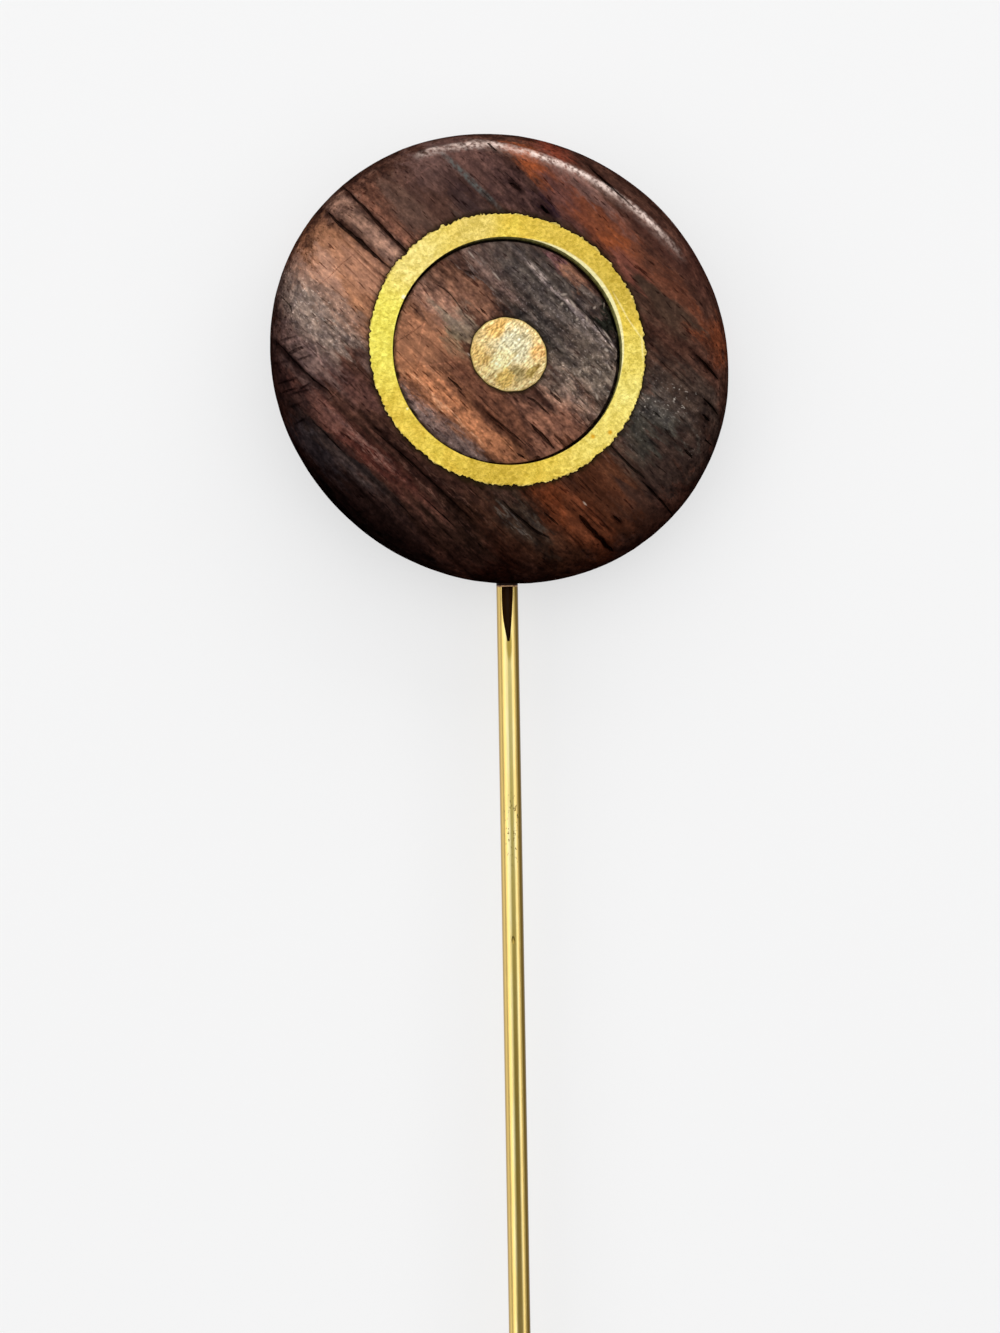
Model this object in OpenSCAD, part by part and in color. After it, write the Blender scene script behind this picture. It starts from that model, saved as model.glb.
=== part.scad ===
// Stick pin: an oval hardwood disc with a brass ring and a brass dot let into its face,
// on a stem rolled from sheet brass.
// Millimetres. The disc lies on its flat back with its face up (+Z) and the stem along -Y.
// The origin is the middle of the disc's back.

/* [Disc] */
// Longest width across the face
disc_long = 17.35; // [16:0.05:19]
// Width across the face at right angles to the longest
disc_short = 16.25; // [15:0.05:18]
// Thickness from back to face
disc_thick = 3.6; // [3.2:0.1:4.4]
// Direction of the longest width, counted from +X towards +Y
disc_turn = 143; // [120:1:160]
// Rounding of the rim on the face side
face_round = 1.5; // [0.8:0.1:1.7]
// Rounding of the rim on the back
back_round = 1.2; // [0.6:0.1:1.4]

/* [Grain] */
// Direction of the grain, counted from +Y towards -X
grain_turn = 45; // [0:1:90]
// Share of their full depth to which the drying cracks are cut
crack_share = 1; // [0.4:0.1:1]

/* [Ring] */
// Longest width of the ring, along the disc's longest width
ring_long = 10.34; // [10.2:0.02:10.8]
// Width of the ring at right angles to that
ring_short = 9.91; // [9.4:0.01:10.1]
// Longest width of the hole in the ring
hole_long = 8.5; // [8.4:0.02:9]
// Width of the hole at right angles to that
hole_short = 8.34; // [7.8:0.02:8.38]
// Place of the ring's middle to the right of the disc's middle
ring_x = 0.29; // [0:0.01:0.5]
// Place of the ring's middle above the disc's middle
ring_y = 0.27; // [0:0.01:0.5]
// Place of the hole's middle to the right of the ring's middle
hole_x = 0.02; // [-0.1:0.01:0.1]
// Place of the hole's middle above the ring's middle
hole_y = -0.05; // [-0.1:0.01:0.1]
// Widest part of the open gap between the wood inside the ring and the ring
core_gap = 0.2; // [0.06:0.02:0.3]

/* [Dot] */
// Longest width of the dot
dot_long = 2.9; // [2.7:0.02:3.4]
// Width of the dot at right angles to the longest
dot_short = 2.66; // [1.8:0.02:2.68]
// Place of its middle to the right of the disc's middle
dot_x = 0.35; // [0:0.01:0.5]
// Place of its middle above the disc's middle
dot_y = 0.08; // [0:0.01:0.5]

/* [Stem] */
// Outside width of the rolled tube
stem_d = 0.8; // [0.7:0.05:1]
// Length from the disc's edge to the tip of the point
stem_len = 50; // [40:1:60]
// Length of the point
point_len = 7; // [4:0.5:10]
// Place of the stem to the right of the disc's middle
stem_x = 0.15; // [0:0.05:0.6]
// Widest part of the long V that stands open where the edges of the sheet don't meet
notch_w = 0.42; // [0.2:0.02:0.46]
// Length of that V
notch_len = 2; // [1:0.1:3]
// Depth of the stem's hidden end in the disc's edge
seat_len = 4.5; // [3:0.5:5]

/* [Hidden] */
// Free space round each inlay
inlay_gap = 0.02;
// Depth of the ring and of the dot in the wood
inlay_deep = 1;
// Width of the stem's hidden end, and the free space round it in its hole
seat_d = 0.4;
seat_gap = 0.03;
// Distance from the disc's edge to where the stem has its full width
end_gap = 0.04;
// Distance from the disc's edge to the V's upper end
notch_start = 0.1;
// Inside width of the rolled tube, and how far its hollow runs on past the V's lower end
bore_d = 0.52;
bore_more = 0.4;
// Width of the blunt end of the point
tip_d = 0.08;
// Seam down the front of the stem, where the two edges of the sheet meet
seam_w = 0.04;
seam_deep = 0.04;
// Thickness that is sanded off the rounded blank on each side
sanded = 0.01;
// Overlap that makes each cut run clear of the face that it starts from
over = 1;
// Direction in which the gap inside the ring is widest
core_gap_turn = 35;
// Facets of round parts
round_fn = 128;
// How much tighter than the short half width the end arcs of an oval are, as a share of the
// difference between the two half widths
arc_share = 0.64;

// Half widths of the disc, and the height of the stem in the middle of its thickness
disc_a = disc_long / 2;
disc_b = disc_short / 2;
stem_z = disc_thick / 2;
// Height of the floor under the ring and the dot
inlay_z = disc_thick - inlay_deep;
// Lowest point of the disc's edge, straight above the stem
edge_y = -sqrt(pow(disc_a * sin(disc_turn), 2) + pow(disc_b * cos(disc_turn), 2));
// Place of the cracks' own middle above the disc's middle
crack_y = -0.08;
// Drying cracks that run with the grain. Columns: place across the grain, place of the inner
// end along it, place of the widest part, place of the outer end, width there, width at the
// outer end, depth at the inner end, depth at the outer end.
cracks = [
    [ 0.48,  4.9,  7.8,  9.4, 0.10, 0.10, 0.4, 2.2],
    [-0.48,  5.4,  7.5,  8.3, 0.16, 0.04, 0.4, 0.9],
    [ 0.50, -4.9, -6.4, -9.4, 0.09, 0.05, 0.4, 2.0],
    [ 0.42,  2.2,  3.0,  3.7, 0.05, 0.02, 0.2, 0.2],
    [-1.65, -0.9, -2.0, -2.9, 0.08, 0.02, 0.2, 0.2],
    [-0.92, -2.4, -3.1, -3.7, 0.13, 0.04, 0.3, 0.3],
    [-2.14, -6.2, -6.9, -7.9, 0.16, 0.03, 0.4, 0.7],
    [-5.26,  3.4,  4.8,  6.5, 0.09, 0.04, 0.3, 0.5],
    [-4.97,  1.6, -1.2, -3.5, 0.08, 0.02, 0.2, 0.2],
    [ 5.12, -5.1, -5.7, -6.3, 0.12, 0.03, 0.4, 0.6],
    [ 7.42,  0.4,  1.5,  2.6, 0.10, 0.02, 0.6, 0.7]
];

// An oval of four arcs that run into each other without a corner, with half widths a and b.
// The end arcs have the radius end_r, and the arcs along the sides the radius side_r, about
// centres that lie end_x to each side of the middle and side_y below and above it.
function end_r(a, b) = b - arc_share * (a - b);
function side_r(a, b) = (a * a + b * b - 2 * a * end_r(a, b)) / (2 * (b - end_r(a, b)));
function end_x(a, b) = a - end_r(a, b);
function side_y(a, b) = side_r(a, b) - b;
// Half the angle that an end arc takes up
function end_angle(a, b) = atan2(side_y(a, b), end_x(a, b));

// Half of the blank's section along its longest width, before sanding, with a round rim
module blank_section() {
    low = -sanded;
    high = disc_thick + sanded;
    translate([0, low]) square([disc_a - face_round, high - low]);
    translate([0, low]) square([disc_a - back_round, high - low - face_round]);
    translate([0, low + back_round]) square([disc_a, high - low - face_round - back_round]);
    translate([disc_a - face_round, high - face_round]) circle(face_round, $fn = round_fn);
    translate([disc_a - back_round, low + back_round]) circle(back_round, $fn = round_fn);
}

// The oval blank, sanded flat on its face and back, before anything is let into it
module blank() {
    difference() {
        rotate(disc_turn) scale([1, disc_b / disc_a, 1]) rotate_extrude($fn = round_fn) blank_section();
        for (z = [-over, disc_thick]) translate([-disc_long, -disc_long, z])
            cube([2 * disc_long, 2 * disc_long, over]);
    }
}

// Flat oval with half widths a and b
module oval(a, b) {
    meet_x = end_x(a, b) + end_r(a, b) * cos(end_angle(a, b));
    rotate(disc_turn) {
        intersection() {
            square([2 * meet_x, 3 * b], center = true);
            translate([0, -side_y(a, b)]) circle(side_r(a, b), $fn = round_fn);
            translate([0, side_y(a, b)]) circle(side_r(a, b), $fn = round_fn);
        }
        for (side = [-1, 1]) translate([side * end_x(a, b), 0]) circle(end_r(a, b), $fn = round_fn);
    }
}

// Outline of the hole in the ring about its own middle, made smaller all round by a margin
module hole(margin) {
    oval(hole_long / 2 - margin, hole_short / 2 - margin);
}

// Everything that the ring's groove takes out of the wood. The wood left standing inside it is
// smaller than the ring's hole and stands to one side of it.
module groove() {
    side = core_gap / 2;
    translate([ring_x, ring_y, inlay_z]) linear_extrude(inlay_deep + over) difference() {
        oval(ring_long / 2 + inlay_gap, ring_short / 2 + inlay_gap);
        translate([hole_x - side * cos(core_gap_turn), hole_y - side * sin(core_gap_turn)])
            hole(inlay_gap + side);
    }
}

// One crack: its plan in the face, cut off below by its sloping floor
module crack(row) {
    across = row[0];
    start = row[1];
    wide = row[2];
    end = row[3];
    w = row[4] / 2;
    w_end = row[5] / 2;
    floor_start = disc_thick - row[6] * crack_share;
    floor_end = disc_thick - row[7] * crack_share;
    side = sign(end - start);
    translate([0, crack_y, 0]) rotate(grain_turn) translate([across, 0, 0]) intersection() {
        linear_extrude(disc_thick + over)
            polygon([[0, start], [w * side, wide], [w_end * side, end], [-w_end * side, end], [-w * side, wide]]);
        translate([-over, 0, 0]) rotate([90, 0, 90]) linear_extrude(2 * over)
            polygon([[start, disc_thick + over], [start, floor_start], [end, floor_end], [end, disc_thick + over]]);
    }
}

// Round bar along the stem's line, from its upper end down
module bar(top, bottom, d_top, d_bottom) {
    translate([stem_x, top, stem_z])
        rotate([90, 0, 0])
            cylinder(d1 = d_top, d2 = d_bottom, h = top - bottom, $fn = round_fn);
}

// Hole in the disc's edge that the stem goes up into
module stem_hole() {
    width = seat_d + 2 * seat_gap;
    bar(edge_y + seat_len + seat_gap, edge_y - over, width, width);
}

module wood_disc() {
    color("#4a2a20") difference() {
        blank();
        groove();
        translate([dot_x, dot_y, inlay_z])
            linear_extrude(inlay_deep + over) oval(dot_long / 2 + inlay_gap, dot_short / 2 + inlay_gap);
        for (row = cracks) crack(row);
        stem_hole();
    }
}

module ring_inlay() {
    color("#d8b83a") translate([ring_x, ring_y, inlay_z + inlay_gap])
        linear_extrude(inlay_deep - inlay_gap) difference() {
            oval(ring_long / 2, ring_short / 2);
            translate([hole_x, hole_y]) hole(0);
        }
}

module centre_dot() {
    color("#cfae6c") translate([dot_x, dot_y, inlay_z + inlay_gap])
        linear_extrude(inlay_deep - inlay_gap) oval(dot_long / 2, dot_short / 2);
}

// The V where the edges of the sheet stand apart: widest at its upper end, then a point
module notch() {
    top = edge_y - notch_start;
    translate([stem_x, top, stem_z]) linear_extrude(stem_d)
        polygon([[-notch_w / 2, 0], [notch_w / 2, 0], [0, -notch_len]]);
}

// Fine groove along the seam, from the V down to the point
module seam() {
    top = edge_y - notch_start - notch_len / 2;
    bottom = edge_y - stem_len + point_len;
    translate([stem_x - seam_w / 2, bottom, stem_z + stem_d / 2 - seam_deep])
        cube([seam_w, top - bottom, stem_d]);
}

module pin_stem() {
    notch_top = edge_y - notch_start;
    point_start = edge_y - stem_len + point_len;
    color("#d9b457") union() {
        difference() {
            union() {
                bar(edge_y - end_gap, point_start, stem_d, stem_d);
                bar(edge_y + seat_len, edge_y - end_gap, seat_d, seat_d);
            }
            bar(notch_top, notch_top - notch_len - bore_more, bore_d, bore_d);
            notch();
            seam();
        }
        bar(point_start, edge_y - stem_len, stem_d, tip_d);
    }
}

wood_disc();
ring_inlay();
centre_dot();
pin_stem();
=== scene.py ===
import math
import random

import bmesh
import bpy
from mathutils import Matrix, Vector


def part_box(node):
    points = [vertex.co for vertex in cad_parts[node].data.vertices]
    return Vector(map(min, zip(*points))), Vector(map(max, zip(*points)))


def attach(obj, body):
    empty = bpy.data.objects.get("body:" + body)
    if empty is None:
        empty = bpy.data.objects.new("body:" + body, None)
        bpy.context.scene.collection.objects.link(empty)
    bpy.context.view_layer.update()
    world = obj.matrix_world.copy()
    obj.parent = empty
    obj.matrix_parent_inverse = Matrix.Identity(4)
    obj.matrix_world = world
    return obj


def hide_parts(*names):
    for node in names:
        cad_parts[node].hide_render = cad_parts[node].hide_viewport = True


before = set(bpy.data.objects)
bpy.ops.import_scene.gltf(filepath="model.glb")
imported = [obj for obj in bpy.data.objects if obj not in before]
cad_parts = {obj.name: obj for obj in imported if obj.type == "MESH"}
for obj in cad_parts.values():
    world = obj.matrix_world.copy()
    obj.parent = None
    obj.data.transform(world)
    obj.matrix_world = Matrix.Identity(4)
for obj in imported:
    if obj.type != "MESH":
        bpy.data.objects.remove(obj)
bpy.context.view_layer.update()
bpy.ops.object.select_all(action="DESELECT")
mm = 0.001


# Camera
# It looks straight down on the pin, which lies on its back. The disc fills the upper middle of the
# picture, and the stem leaves it in the middle of its lower edge and runs out of the picture.
picture_height = 49.37 * mm
picture_x = -0.164 * mm
picture_y = -11.382 * mm
picture_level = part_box("wood_disc")[1].z / 2
picture_turn = math.radians(-0.97)
lens = 180
film = 36
bpy.ops.object.camera_add(location=(picture_x, picture_y, picture_level + picture_height * lens / film),
                          rotation=(0, 0, picture_turn))
camera = bpy.context.object
camera.data.lens = lens
bpy.context.scene.camera = camera
bpy.context.scene.view_settings.view_transform = "Standard"


# Light
# Plain soft studio light: a wide box overhead that the flat brass mirrors, a long low box beyond the
# top that draws a soft line along the disc's rim, one to each side for the stem's two bright
# stripes, and dim walls all round.
def softbox(name, azimuth, off_axis, distance, width, height, brightness):
    """A lit panel that faces the pin, at an azimuth from +X and an angle from straight up."""
    turn = math.radians(azimuth)
    lean = math.radians(off_axis)
    outward = math.sin(lean)
    place = distance * Vector((outward * math.cos(turn), outward * math.sin(turn), math.cos(lean)))
    bpy.ops.object.light_add(type="AREA", location=place)
    box = bpy.context.object
    box.name = name
    box.rotation_euler = (-place).to_track_quat("-Z", "Y").to_euler()
    box.data.shape = "RECTANGLE"
    box.data.size = width
    box.data.size_y = height
    box.data.energy = brightness * math.pi * width * height


def feed(tree, node, inputs):
    """Set a shader node's inputs to numbers or colours, or to the outputs that feed them."""
    for key, value in inputs.items():
        if isinstance(value, bpy.types.NodeSocket):
            tree.links.new(value, node.inputs[key])
        elif node.inputs[key].type == "RGBA":
            node.inputs[key].default_value = (*value, 1)
        else:
            node.inputs[key].default_value = value


softbox("overhead_box", 90, 21.2, 0.6, 0.75, 0.58, 1.02)
softbox("rim_box", 78, 66, 0.5, 0.8, 0.2, 3.2)
softbox("left_box", 180, 50, 0.6, 0.8, 0.38, 1.15)
softbox("right_box", 0, 50, 0.6, 0.8, 0.34, 1)

walls = bpy.data.worlds.new("studio_walls")
walls.use_nodes = True
feed(walls.node_tree, walls.node_tree.nodes["Background"], {"Color": (0.97, 0.98, 1), "Strength": 0.3})
bpy.context.scene.world = walls


# Floor
# A sheet of pale matt paper on a light table, which runs far out on all sides.
def start_material(piece, name):
    """Put a new material on the piece and return its tree and its shader."""
    material = bpy.data.materials.new(name)
    material.use_nodes = True
    piece.data.materials.clear()
    piece.data.materials.append(material)
    return material.node_tree, material.node_tree.nodes["Principled BSDF"]


floor_size = 6
bpy.ops.mesh.primitive_plane_add(size=floor_size, location=(0, 0, 0))
floor = bpy.context.object
floor.name = "paper_floor"
paper, paper_shader = start_material(floor, "matt paper")
feed(paper, paper_shader, {
    "Base Color": (0.3, 0.3, 0.3), "Emission Color": (1, 1, 1), "Emission Strength": 0.62,
    "Roughness": 0.95, "Specular IOR Level": 0.1})


# Wooden disc
# An oval of rosewood, sawn along the grain, sanded flat and rounded over at the rim by hand, then
# oiled. It has dried since, so cracks and open pores run along the grain. A groove and a round seat
# are cut in its face for the brass, and a hole in its lower edge for the stem.
disc_long = 17.35 * mm
disc_short = 16.25 * mm
disc_turn = math.radians(143)
face_round = 1.5 * mm
back_round = 1.2 * mm
brass_proud = 0.018 * mm
disc_low, disc_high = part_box("wood_disc")
face_level = disc_high.z - brass_proud
disc_thick = face_level - disc_low.z
grain_turn = math.radians(45)
# Middle of the chart of marks and colours on the face.
chart_middle = Vector((0, -0.083, 0)) * mm


def only(piece):
    """Select one piece and nothing else."""
    bpy.ops.object.select_all(action="DESELECT")
    piece.select_set(True)
    bpy.context.view_layer.objects.active = piece


def pick(piece, kind, test):
    """In edit mode, select only those vertices, edges or faces of the piece that pass the test."""
    bpy.ops.mesh.select_mode(type=kind)
    bpy.ops.mesh.select_all(action="DESELECT")
    mesh = bmesh.from_edit_mesh(piece.data)
    for part in {"VERT": mesh.verts, "EDGE": mesh.edges, "FACE": mesh.faces}[kind]:
        if test(part):
            part.select_set(True)
    mesh.select_flush_mode()
    bmesh.update_edit_mesh(piece.data)


def edit():
    """Go into edit mode with the whole mesh selected."""
    bpy.ops.object.mode_set(mode="EDIT")
    bpy.ops.mesh.select_all(action="SELECT")


def done():
    """Leave edit mode."""
    bpy.ops.object.mode_set(mode="OBJECT")


def face_out():
    """Turn every face of the mesh in edit mode outwards, and leave edit mode."""
    bpy.ops.mesh.select_all(action="SELECT")
    bpy.ops.mesh.normals_make_consistent(inside=False)
    done()


def settle(scale=(1, 1, 1), turn=0):
    """Stretch the new shape, turn it about Z, and put both and its place into its mesh."""
    shape = bpy.context.object
    shape.scale = scale
    shape.rotation_euler.z = turn
    bpy.ops.object.transform_apply()
    return shape


def round_over(piece, side, width, segments, clamp=False):
    """Round over the edge of a piece's flat top, or of its flat bottom where side is -1."""
    only(piece)
    edit()
    pick(piece, "FACE", lambda face: face.normal.z * side > 0.9)
    bpy.ops.mesh.bevel(offset=width, segments=segments, affect="EDGES", clamp_overlap=clamp)
    done()


def cut(piece, tool, crossing=False):
    """Take the tool's shape out of the piece, and throw the tool away. Parts of the tool may cross."""
    only(piece)
    change = piece.modifiers.new("cut", "BOOLEAN")
    change.operation = "DIFFERENCE"
    change.solver = "EXACT" if crossing else "MANIFOLD"
    change.use_self = crossing
    change.object = tool
    bpy.ops.object.modifier_apply(modifier=change.name)
    bpy.data.objects.remove(tool)


def roughen(piece, name, lump, height):
    """Raise and sink the surface in lumps that are lump long across the grain, along it and down."""
    clouds = bpy.data.textures.new(name, "CLOUDS")
    clouds.noise_scale = 1
    bpy.ops.object.empty_add(rotation=(0, 0, grain_turn))
    guide = bpy.context.object
    guide.scale = lump
    bpy.context.view_layer.update()
    only(piece)
    change = piece.modifiers.new(name, "DISPLACE")
    change.texture = clouds
    change.texture_coords = "OBJECT"
    change.texture_coords_object = guide
    change.strength = height
    bpy.ops.object.modifier_apply(modifier=change.name)
    bpy.data.objects.remove(guide)


# The blank: a round with rounded rims, squeezed to its oval.
bpy.ops.mesh.primitive_cylinder_add(
    vertices=256, radius=disc_long / 2, depth=disc_thick, location=(0, 0, disc_thick / 2))
disc = bpy.context.object
disc.name = "rosewood_disc"
round_over(disc, 1, face_round, 18)
round_over(disc, -1, back_round, 12)
settle((1, disc_short / disc_long, 1), disc_turn)

# Slices along and across the grain give the surface enough faces for its slight relief.
reach = disc_long / 2
edit()
for turn, step in ((grain_turn, 0.14 * mm), (grain_turn + math.pi / 2, 0.45 * mm)):
    along = Vector((math.cos(turn), math.sin(turn), 0))
    for number in range(1, int(2 * reach / step)):
        bpy.ops.mesh.select_all(action="SELECT")
        bpy.ops.mesh.bisect(plane_co=along * (number * step - reach), plane_no=along)
done()
roughen(disc, "hand sanding", (2.5 * mm, 4 * mm, 2.5 * mm), 0.05 * mm)
roughen(disc, "grain relief", (0.28 * mm, 3 * mm, 0.4 * mm), 0.018 * mm)

# The back is sanded flat again, so that the disc lies still.
edit()
pick(disc, "VERT", lambda vert: vert.co.z < 0.04 * mm)
bpy.ops.transform.resize(value=(1, 1, 0), center_override=(0, 0, 0))
done()


def grain_place(across, along):
    """Place in the part of a point on the chart, in mm across and along the grain, so turned by 45
    degrees."""
    return chart_middle + Vector((across - along, across + along, 0)) * mm / math.sqrt(2)


def top_level(across, along):
    """Height of the rounded blank's top at that point, in mm."""
    place = grain_place(across, along)
    x = place.x * math.cos(disc_turn) + place.y * math.sin(disc_turn)
    y = place.y * math.cos(disc_turn) - place.x * math.sin(disc_turn)
    radius = math.hypot(x, y * disc_long / disc_short)
    over_edge = min(max(radius - disc_long / 2 + face_round, 0), face_round)
    return (face_level - face_round + math.sqrt(face_round ** 2 - over_edge ** 2)) / mm


# Marks in the wood, charted in mm: greatest width, then points across and along the grain.
# A deep mark goes down by about twice its width.
deep_marks = (
    (0.14, (0.6, 8.6), (0.57, 7.7), (0.51, 7), (0.49, 6.3), (0.45, 5.2), (0.43, 4.8)),
    (0.05, (0.35, 3.7), (0.45, 3.2), (0.46, 2.9), (0.4, 2.5), (0.33, 2.2)),
    (0.18, (-0.48, 8.3), (-0.52, 7.9), (-0.53, 7.5), (-0.46, 6.9), (-0.43, 6.4), (-0.43, 5.6), (-0.4, 5.2)),
    (0.11, (0.58, -5.05), (0.53, -5.9), (0.53, -6.4), (0.56, -6.9)),
    (0.12, (0.42, -6.9), (0.4, -7.7), (0.35, -8.6)),
    (0.06, (-3.9, 7.5), (-3.93, 6.9), (-4.05, 6.7)),
    (0.09, (-5.23, 6.5), (-5.22, 6), (-5.28, 5.4), (-5.3, 4.8), (-5.27, 4.2), (-5.2, 3.8), (-5.25, 3.4)),
    (0.07, (-5.2, 5.7), (-4.7, 5.5)),
    (0.07, (-6.4, 3.4), (-6.42, 2.5), (-6.45, 1.5)),
    (0.07, (-5.1, 1.65), (-5.08, 1.2), (-5, 0.2), (-4.97, -0.8), (-4.95, -1.6), (-4.95, -3),
     (-4.97, -3.5)),
    (0.06, (-5.6, -1.3), (-5.55, -3.2)),
    (0.05, (-6.35, -0.8), (-6.4, -1.9)),
    (0.1, (-3.65, -3.7), (-3.7, -4.3), (-3.6, -5.4), (-3.45, -5.9)),
    (0.08, (-2.9, -5.1), (-2.87, -5.8)),
    (0.24, (-2.05, -6.2), (-2.15, -6.9), (-2.18, -7.6), (-2.1, -7.9)),
    (0.1, (-1.25, -7.05), (-1.2, -7.4)),
    (0.1, (-1.8, 0.9), (-1.77, 0.2)),
    (0.09, (-1.75, -1), (-1.65, -2), (-1.6, -2.9)),
    (0.07, (-2.05, -2.9), (-1.95, -3.2)),
    (0.15, (-0.9, -2.5), (-0.92, -3), (-0.95, -3.75)),
    (0.09, (-0.3, -1.7), (-0.2, -2), (-0.18, -2.8)),
    (0.14, (0.42, -2.2), (0.48, -2.7)),
    (0.1, (0.85, 1.75), (0.88, 1.5)),
    (0.08, (1.45, 3.1), (1.6, 2.85)),
    (0.05, (3.45, -0.3), (3.4, -1.4), (3.1, -3.3)),
    (0.1, (5.45, 5.85), (5.45, 5.4)),
    (0.12, (4.9, 4.15), (5.05, 3.8)),
    (0.14, (5.1, 2.8), (5.15, 2.45)),
    (0.1, (7.4, 2.6), (7.42, 1.5), (7.45, 0.35)),
    (0.12, (5.15, -5.1), (5.12, -5.7), (5.08, -6.3)),
    (0.09, (4.2, -6.4), (4.18, -6.9), (4.15, -7.2)),
    (0.14, (3.75, -6.8), (3.72, -7.1)),
    (0.14, (2.35, -7.2), (2.35, -7.6)),
    (0.08, (3.15, -7.5), (3.2, -7.8)),
    (0.08, (2.55, -5.4), (2.6, -5.8)),
)
shallow_marks = (
    (0.09, (-0.4, 3.9), (-0.45, 3.2)),
    (0.1, (-1.9, -5.5), (-1.88, -6.1)),
    (0.09, (-1.65, -6), (-1.67, -7.4)),
    (0.08, (-1.1, -5.1), (-1.15, -5.9)),
    (0.08, (0.75, -2.9), (0.8, -3.6), (0.65, -4)),
    (0.08, (1.42, -1.6), (1.45, -2.2), (1.38, -3.2), (1.35, -3.9)),
    (0.12, (3.6, 0.9), (3.62, 0.1)),
    (0.08, (-6.4, 4.9), (-5.9, 4.6)),
    (0.07, (-5.9, 4.5), (-5.5, 4.4)),
    (0.07, (-4.6, 7.1), (-4.5, 6.8)),
    (0.06, (-6.3, 5.25), (-5.75, 4.9)),
    (0.05, (-6.2, 4.6), (-5.6, 4.2)),
    (0.06, (-5.15, 5.3), (-4.75, 5.1)),
    (0.05, (-5.1, 6.3), (-4.65, 6)),
    (0.05, (-6.9, 3.75), (-6.5, 3.6)),
    (0.06, (-5.65, 0.3), (-5.6, -0.5)),
    (0.035, (-2.3, 3.2), (-1.6, 3), (-0.9, 2.9)),
    (0.035, (-2.9, 6.7), (-2.2, 6.6), (-1.5, 6.6), (-0.8, 6.5)),
    (0.03, (-6.6, 3.65), (-5.6, 3.5), (-4.6, 3.35), (-3.9, 3.3)),
)

mark_step = 0.22


def mark_tool(marks, stretch, seed):
    """Thin ragged blades that follow the marks. Each is drawn flattened and then stretched, so that
    it is as many times higher than wide as stretch says, half of it above the wood's surface."""
    chance = random.Random(seed)
    curve = bpy.data.curves.new("marks", "CURVE")
    curve.dimensions = "3D"
    curve.bevel_depth = mm
    curve.bevel_resolution = 1
    curve.use_fill_caps = True
    for width, *points in marks:
        trail = []
        for start, end in zip(points, points[1:]):
            pieces = max(1, round(math.dist(start, end) / mark_step))
            trail += [Vector(start).lerp(Vector(end), step / pieces) for step in range(pieces)]
        trail.append(Vector(points[-1]))
        spline = curve.splines.new("POLY")
        spline.points.add(len(trail) - 1)
        for number, (point, spot) in enumerate(zip(spline.points, trail)):
            fullness = math.sin(math.pi * (number + 0.35) / (len(trail) - 0.3)) ** 0.5
            across = spot.x + chance.uniform(-0.15, 0.15) * width
            point.co = (across * mm, spot.y * mm / stretch, top_level(*spot) * mm / stretch, 1)
            point.radius = width / 2 * fullness * chance.uniform(0.7, 1.15)
    tool = bpy.data.objects.new("marks", curve)
    bpy.context.scene.collection.objects.link(tool)
    only(tool)
    bpy.ops.object.convert(target="MESH")
    bpy.context.object.location = chart_middle
    tool = settle((1, stretch, stretch), grain_turn)
    edit()
    bpy.ops.mesh.remove_doubles(threshold=0.0005 * mm)
    face_out()
    return tool


# Open pores: short, thin and many, left out where the rim starts.
pore_count = 170
pore_reach = 7
pore_chance = random.Random(11)
pores = []
while len(pores) < pore_count:
    across = pore_chance.uniform(-7.2, 7.2)
    along = pore_chance.uniform(-7.6, 7.6)
    length = pore_chance.uniform(0.3, 0.9)
    if math.hypot(across, along) < pore_reach:
        pores.append((pore_chance.uniform(0.03, 0.05), (across, along), (across, along - length)))

tool = mark_tool(deep_marks, stretch=4, seed=3)
for other in (mark_tool(shallow_marks, stretch=1.2, seed=5), mark_tool(pores, stretch=2, seed=8)):
    only(tool)
    other.select_set(True)
    bpy.ops.object.join()
cut(disc, tool, crossing=True)


def put(tree, kind, inputs=None, **settings):
    """Add a shader node with its settings and inputs."""
    made = tree.nodes.new("ShaderNode" + kind)
    for name, value in settings.items():
        setattr(made, name, value)
    feed(tree, made, inputs or {})
    return made


def tint(red, green, blue):
    """A colour by its screen values, 0 to 255, as the shader wants it."""
    return [((value / 255 + 0.055) / 1.055) ** 2.4 for value in (red, green, blue)]


def blend(tree, share, first, second, how="MIX"):
    """Mix two colours and return the colour that comes out."""
    mixed = put(tree, "Mix", {0: share, 6: first, 7: second}, data_type="RGBA", blend_type=how)
    return mixed.outputs[2]


def mottle(tree, colour, mask, dark, light, share=1):
    """Darken the colour where the mask is empty, and lighten it where the mask is full."""
    return blend(tree, share, colour, blend(tree, mask, dark, light), "MULTIPLY")


def work(tree, operation, *values):
    """Do a sum with masks or numbers and return what comes out."""
    return put(tree, "Math", dict(enumerate(values)), operation=operation).outputs[0]


def times(tree, mask, share):
    """Weaken a mask by a share or by another mask."""
    return work(tree, "MULTIPLY", mask, share)


def broken(tree, mask, noise, gain, base):
    """Break a mask up: the base share of it stays, and up to gain more where the noise is full."""
    return times(tree, mask, work(tree, "MULTIPLY_ADD", noise, gain, base))


def rise(tree, value, low, high, shape="LINEAR"):
    """A mask that goes from 0 to 1 as the value goes from low to high."""
    return put(tree, "MapRange", {"Value": value, "From Min": low, "From Max": high},
               interpolation_type=shape).outputs[0]


def move(tree, operation, *values):
    """Do a sum with places and return the place that comes out."""
    return put(tree, "VectorMath", dict(enumerate(values)), operation=operation).outputs[0]


def distance(tree, place, sides):
    """How far a place is from the middle, counting only the axes that are 1 in sides."""
    flat = move(tree, "MULTIPLY", place, sides)
    return put(tree, "VectorMath", {0: flat}, operation="LENGTH").outputs["Value"]


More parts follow.
